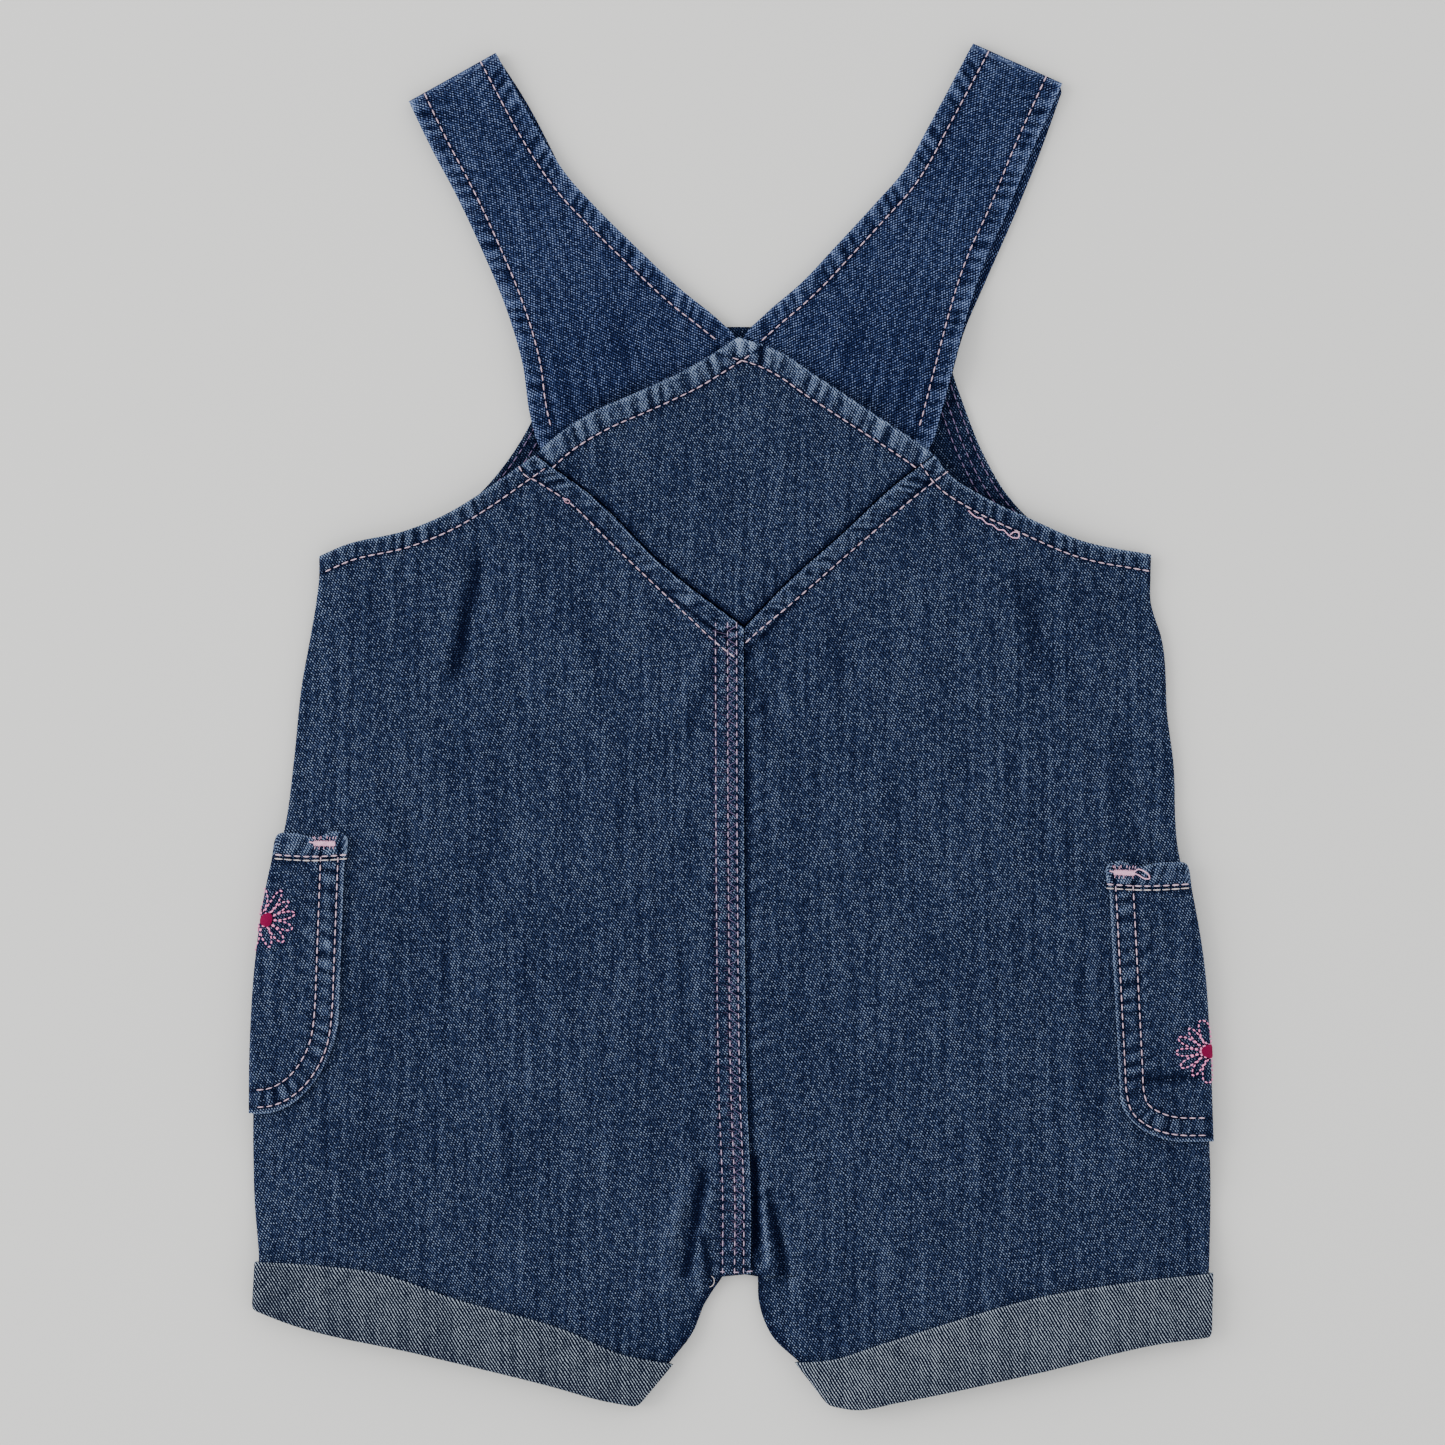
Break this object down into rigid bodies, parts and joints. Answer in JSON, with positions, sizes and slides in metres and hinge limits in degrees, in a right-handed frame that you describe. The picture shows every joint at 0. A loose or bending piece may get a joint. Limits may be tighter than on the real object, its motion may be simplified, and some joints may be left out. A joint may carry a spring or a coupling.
{
  "type": "baby's denim shortalls",
  "caption": "Baby's bib shortalls in dark denim laid out flat on the front, back upwards, with crossed straps, side pockets and turned-up cuffs.",
  "frame": {"origin": "middle of the bounding box's base, on the surface the garment lies on", "axes": "+X across the garment, +Y up it towards the shoulders, +Z up from the surface"},
  "size_m": [0.2892, 0.4092, 0.0072],
  "materials": {
    "denim": "dark indigo denim twill",
    "denim_reverse": "pale reverse of the denim",
    "button": "dull metal"
  },
  "bodies": {
    "root": {"back_left": "denim", "back_right": "denim", "back_yoke": "denim", "bib": "denim", "button_left": "button", "button_right": "button", "cuff_left": "denim_reverse", "cuff_right": "denim_reverse", "front_left": "denim", "front_right": "denim", "pocket_left": "denim", "pocket_right": "denim", "strap_left": "denim", "strap_right": "denim"}
  },
  "joints": []
}
